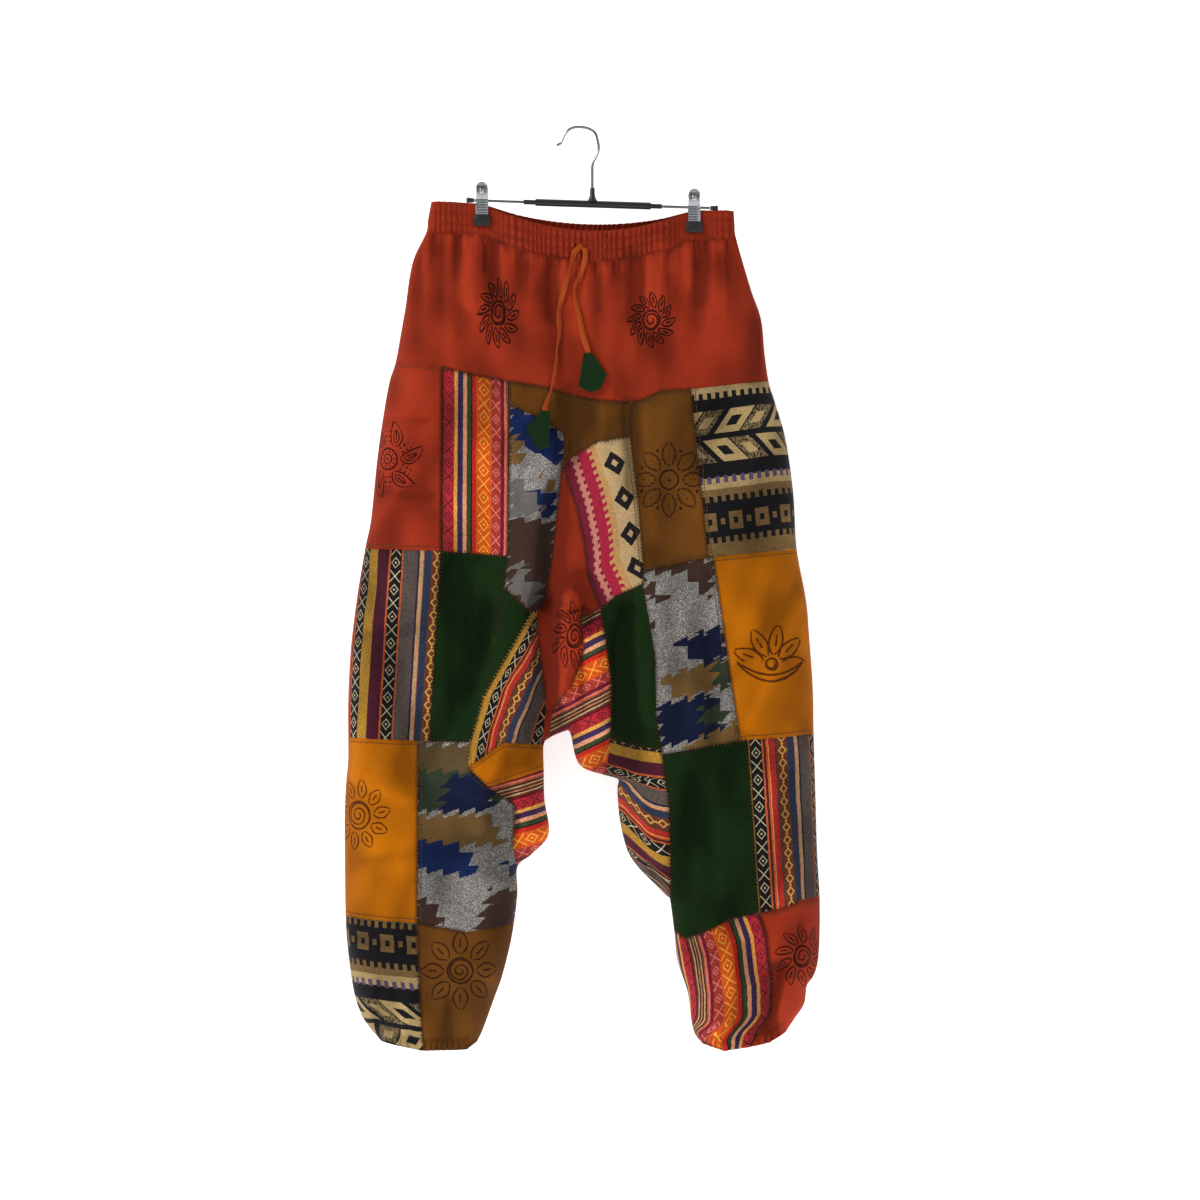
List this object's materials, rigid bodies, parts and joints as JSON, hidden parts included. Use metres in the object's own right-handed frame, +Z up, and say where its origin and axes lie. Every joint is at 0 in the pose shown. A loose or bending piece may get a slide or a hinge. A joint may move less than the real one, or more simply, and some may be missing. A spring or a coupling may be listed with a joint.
{
  "type": "patchwork harem trousers on a clip hanger",
  "caption": "Low-crotch patchwork harem trousers with an elastic waist, printed yoke, tagged drawstring and gathered hems, held by the waist in a metal clip hanger.",
  "frame": {"origin": "inner top of the hook, where a rail carries the hanger", "axes": "+Z up, front of the garment towards -Y, its left side as seen from the front towards -X"},
  "size_m": [0.5602, 0.1071, 1.0871],
  "materials": {
    "rust_cloth": "plain woven cotton with dark block prints",
    "mustard_cloth": "plain woven cotton with dark block prints",
    "green_cloth": "brushed cotton",
    "olive_cloth": "brushed cotton with dark block prints",
    "warm_stripe_cloth": "coarse striped weave in reds, oranges and yellows",
    "dark_stripe_cloth": "coarse striped weave in browns, maroon, navy and black",
    "zigzag_wool": "napped wool with stepped blocks in grey, blue and brown",
    "ikat_cloth": "napped weave with toothed bands and lozenges",
    "string_tape": "folded cotton tape",
    "chrome": "bright plated wire",
    "clip_metal": "bright plated sheet with black tips",
    "black_plastic": "satin black"
  },
  "bodies": {
    "root": {"waistband_front": "rust_cloth", "waistband_back": "rust_cloth", "yoke_front": "rust_cloth", "yoke_back": "rust_cloth", "drawstring_left": "string_tape", "drawstring_right": "string_tape", "tag_left": "green_cloth", "tag_right": "green_cloth", "hanger_hook": "chrome", "hanger_rod": "chrome", "hanger_sleeve": "black_plastic", "hanger_knob_left": "black_plastic", "hanger_knob_right": "black_plastic", "clip_left_front": "clip_metal", "clip_left_back": "clip_metal", "clip_right_front": "clip_metal", "clip_right_back": "clip_metal", "patch_front_rust_left": "rust_cloth", "patch_front_warm_left": "warm_stripe_cloth", "patch_front_dark_left": "dark_stripe_cloth", "patch_front_green_left": "green_cloth", "patch_front_mustard_left": "mustard_cloth", "patch_front_zigzag_left": "zigzag_wool", "patch_front_ikat_left": "ikat_cloth", "patch_front_olive_left": "olive_cloth", "gusset_olive_centre": "olive_cloth", "gusset_zigzag": "zigzag_wool", "gusset_green_left": "green_cloth", "gusset_dark_fold": "dark_stripe_cloth", "gusset_rust": "rust_cloth", "gusset_ikat": "ikat_cloth", "gusset_green_right": "green_cloth", "gusset_warm": "warm_stripe_cloth", "inseam_mustard_left": "mustard_cloth", "inseam_warm_left": "warm_stripe_cloth", "inseam_dark_right": "dark_stripe_cloth", "patch_front_olive_right": "olive_cloth", "patch_front_ikat_right": "ikat_cloth", "patch_front_zigzag_right": "zigzag_wool", "patch_front_mustard_right": "mustard_cloth", "patch_front_green_right": "green_cloth", "patch_front_dark_right": "dark_stripe_cloth", "patch_front_warm_right": "warm_stripe_cloth", "patch_front_rust_right": "rust_cloth", "patch_back_mustard_left": "mustard_cloth", "patch_back_zigzag_left": "zigzag_wool", "patch_back_dark_left": "dark_stripe_cloth", "patch_back_rust_left": "rust_cloth", "patch_back_green_left": "green_cloth", "patch_back_warm_left": "warm_stripe_cloth", "patch_back_ikat_left": "ikat_cloth", "patch_back_mustard_hem_left": "mustard_cloth", "patch_back_warm_right": "warm_stripe_cloth", "patch_back_olive_right": "olive_cloth", "patch_back_green_right": "green_cloth", "patch_back_ikat_right": "ikat_cloth", "patch_back_rust_right": "rust_cloth", "patch_back_dark_right": "dark_stripe_cloth", "patch_back_olive_hem_right": "olive_cloth", "patch_back_zigzag_hem_right": "zigzag_wool"}
  },
  "joints": []
}
